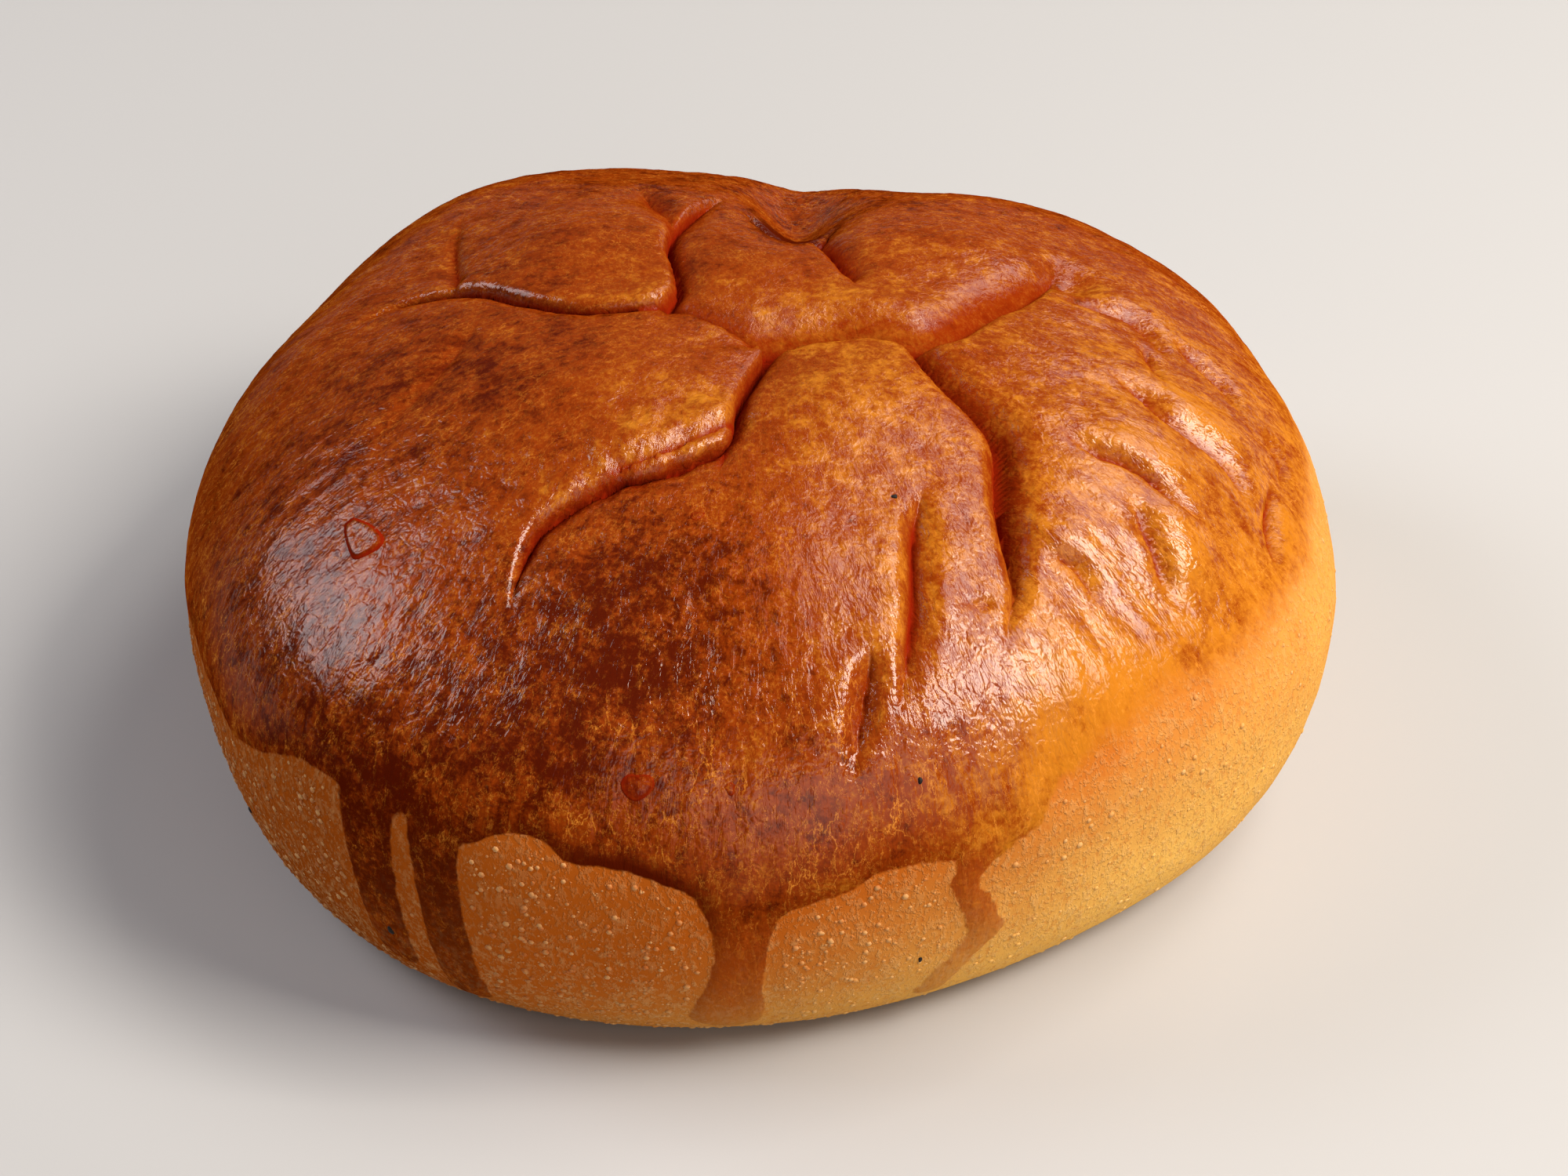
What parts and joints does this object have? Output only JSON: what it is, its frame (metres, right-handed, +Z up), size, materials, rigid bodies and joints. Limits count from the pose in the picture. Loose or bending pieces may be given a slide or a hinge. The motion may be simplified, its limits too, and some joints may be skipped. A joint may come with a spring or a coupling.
{
  "type": "barbecue pork bun",
  "caption": "Round baked bun with a glazed, pleated top, a paler flank with runs of glaze, and a flat underside it rests on.",
  "frame": {"origin": "middle of the bounding box's bottom, on the flat underside", "axes": "+Z up out of the pleated top, +X along the bun's longer side, -Y towards the front of the picture"},
  "size_m": [0.1135, 0.1111, 0.05],
  "materials": {
    "crust": "egg glaze baked to a satin gloss over browned crust, matte honey-tan flank"
  },
  "bodies": {
    "root": {"bun": "crust"}
  },
  "joints": []
}
